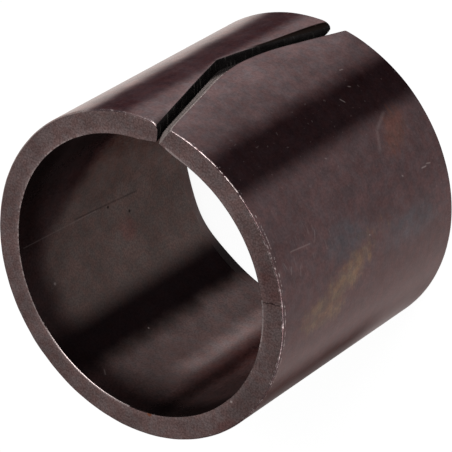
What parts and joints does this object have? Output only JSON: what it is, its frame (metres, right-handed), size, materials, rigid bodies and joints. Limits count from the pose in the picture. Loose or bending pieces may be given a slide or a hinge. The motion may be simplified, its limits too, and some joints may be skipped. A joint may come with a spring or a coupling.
{
  "type": "split tensioning bushing",
  "caption": "Split spring-steel sleeve with an arrow-shaped slot along its side and a lead-in chamfer in the bore, sprung onto a pin as a replaceable wear surface.",
  "frame": {"origin": "on the axis, in the plane of the chamfered end that the bushing stands on", "axes": "+Z along the bushing's axis, up, away from the chamfered end; the slot faces -Y and its arrow points to +X"},
  "size_m": [0.035, 0.035, 0.03],
  "materials": {
    "spring_steel": "dark brown-black oxide left by heat treatment, with worn edges and a few rusty patches"
  },
  "bodies": {
    "root": {"split_bushing": "spring_steel"}
  },
  "joints": []
}
